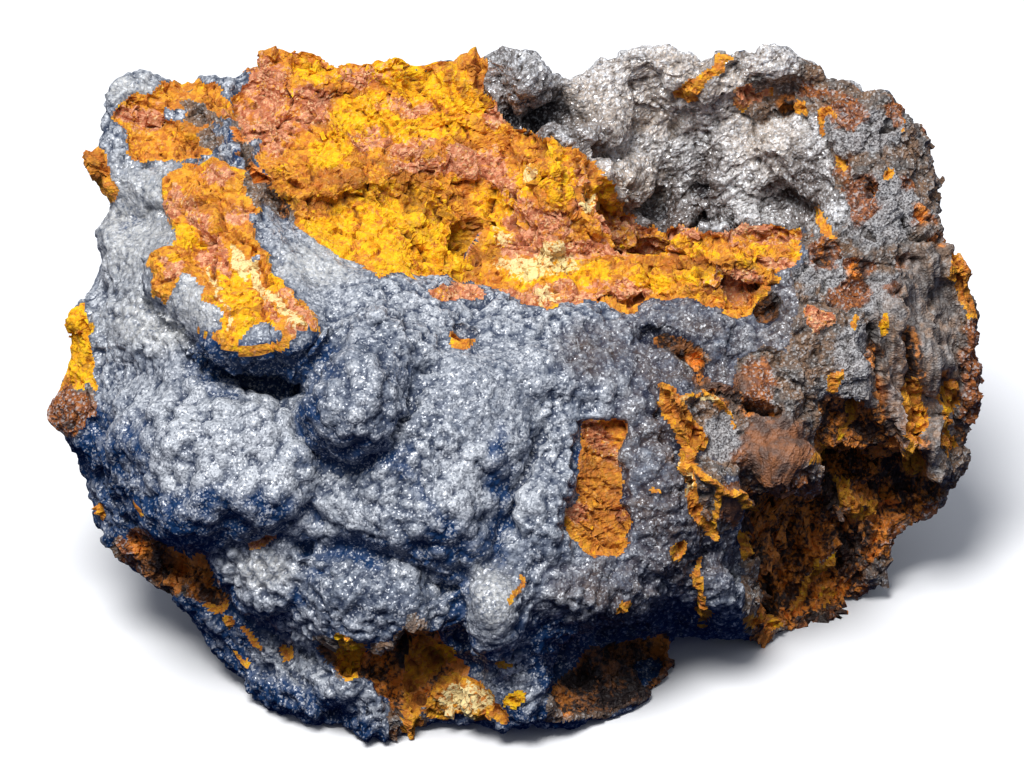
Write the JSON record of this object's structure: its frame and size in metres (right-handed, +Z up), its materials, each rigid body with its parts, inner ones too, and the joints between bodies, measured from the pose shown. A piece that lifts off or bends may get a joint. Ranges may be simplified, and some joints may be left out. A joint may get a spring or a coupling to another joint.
{
  "type": "pyrolusite specimen",
  "caption": "Hand-sized mineral specimen: grey botryoidal pyrolusite crust broken open over yellow and brown iron ochre, with a hollow behind its ledge and a flat base.",
  "frame": {"origin": "point of the flat base under the middle of the rock, on the surface it rests on", "axes": "+Z up, +X to the right as the best face is seen, -Y towards whoever looks at the best face"},
  "size_m": [0.1014, 0.0677, 0.0555],
  "materials": {
    "pyrolusite_crust": "glittering matt",
    "limonite_ochre": "earthy matt",
    "goethite_brown": "dull fibrous"
  },
  "bodies": {
    "root": {"pyrolusite_specimen": "pyrolusite_crust"}
  },
  "joints": []
}
